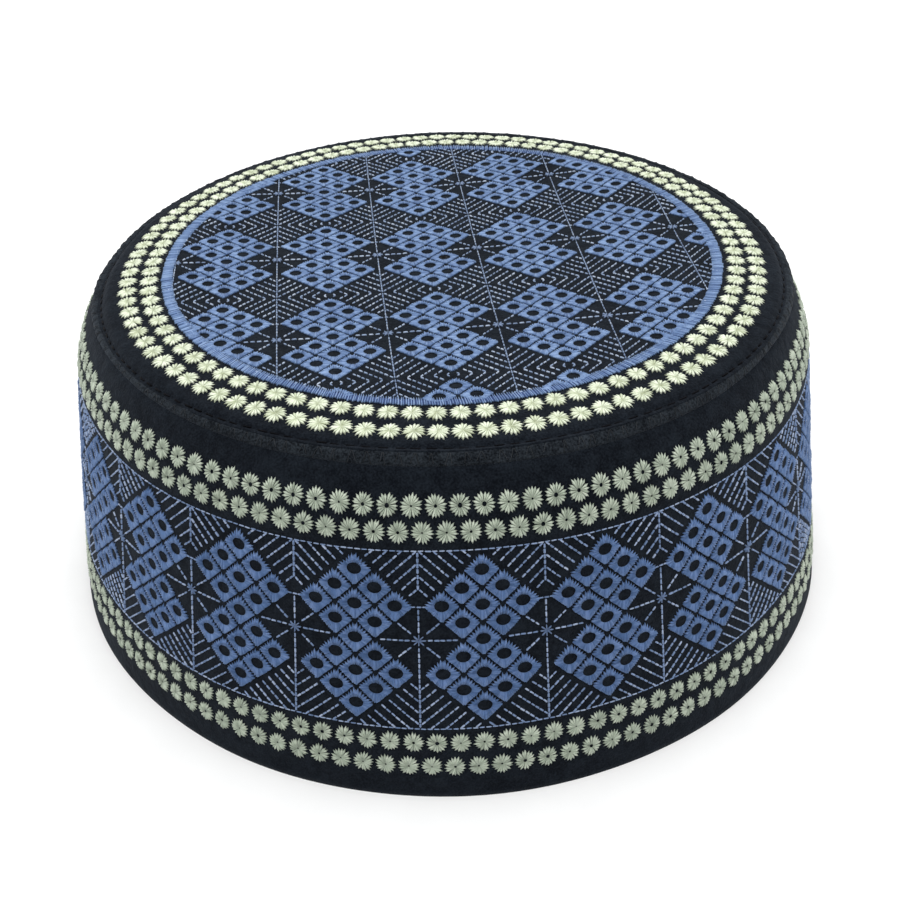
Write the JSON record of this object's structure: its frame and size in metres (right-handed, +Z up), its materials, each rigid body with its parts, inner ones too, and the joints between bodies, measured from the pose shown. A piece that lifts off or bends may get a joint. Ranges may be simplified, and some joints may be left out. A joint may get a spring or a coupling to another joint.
{
  "type": "prayer cap",
  "caption": "Stiff velvet pillbox prayer cap: flat round crown, rolled seam and tapering side band, embroidered with a blue diamond lattice and rings of cream daisies.",
  "frame": {"origin": "centre of the rim, on the surface that the cap rests on", "axes": "+Z up through the crown, -Y towards the front that the picture shows, +X to its right"},
  "size_m": [0.1844, 0.1902, 0.0759],
  "materials": {
    "velvet": "black cotton velvet, short pile",
    "seam_velvet": "black velvet, rolled and overcast with fine grey thread",
    "cream_thread": "glossy rayon embroidery thread",
    "blue_thread": "glossy rayon embroidery thread"
  },
  "bodies": {
    "root": {"side_band": "velvet", "crown_panel": "velvet", "seam_roll": "seam_velvet", "crown_medallion": "blue_thread", "crown_ring": "blue_thread", "crown_daisies_inner": "cream_thread", "crown_daisies_outer": "cream_thread", "shoulder_daisies": "cream_thread", "upper_daisies": "cream_thread", "side_frieze": "blue_thread", "lower_daisies": "cream_thread", "hem_daisies": "cream_thread"}
  },
  "joints": []
}
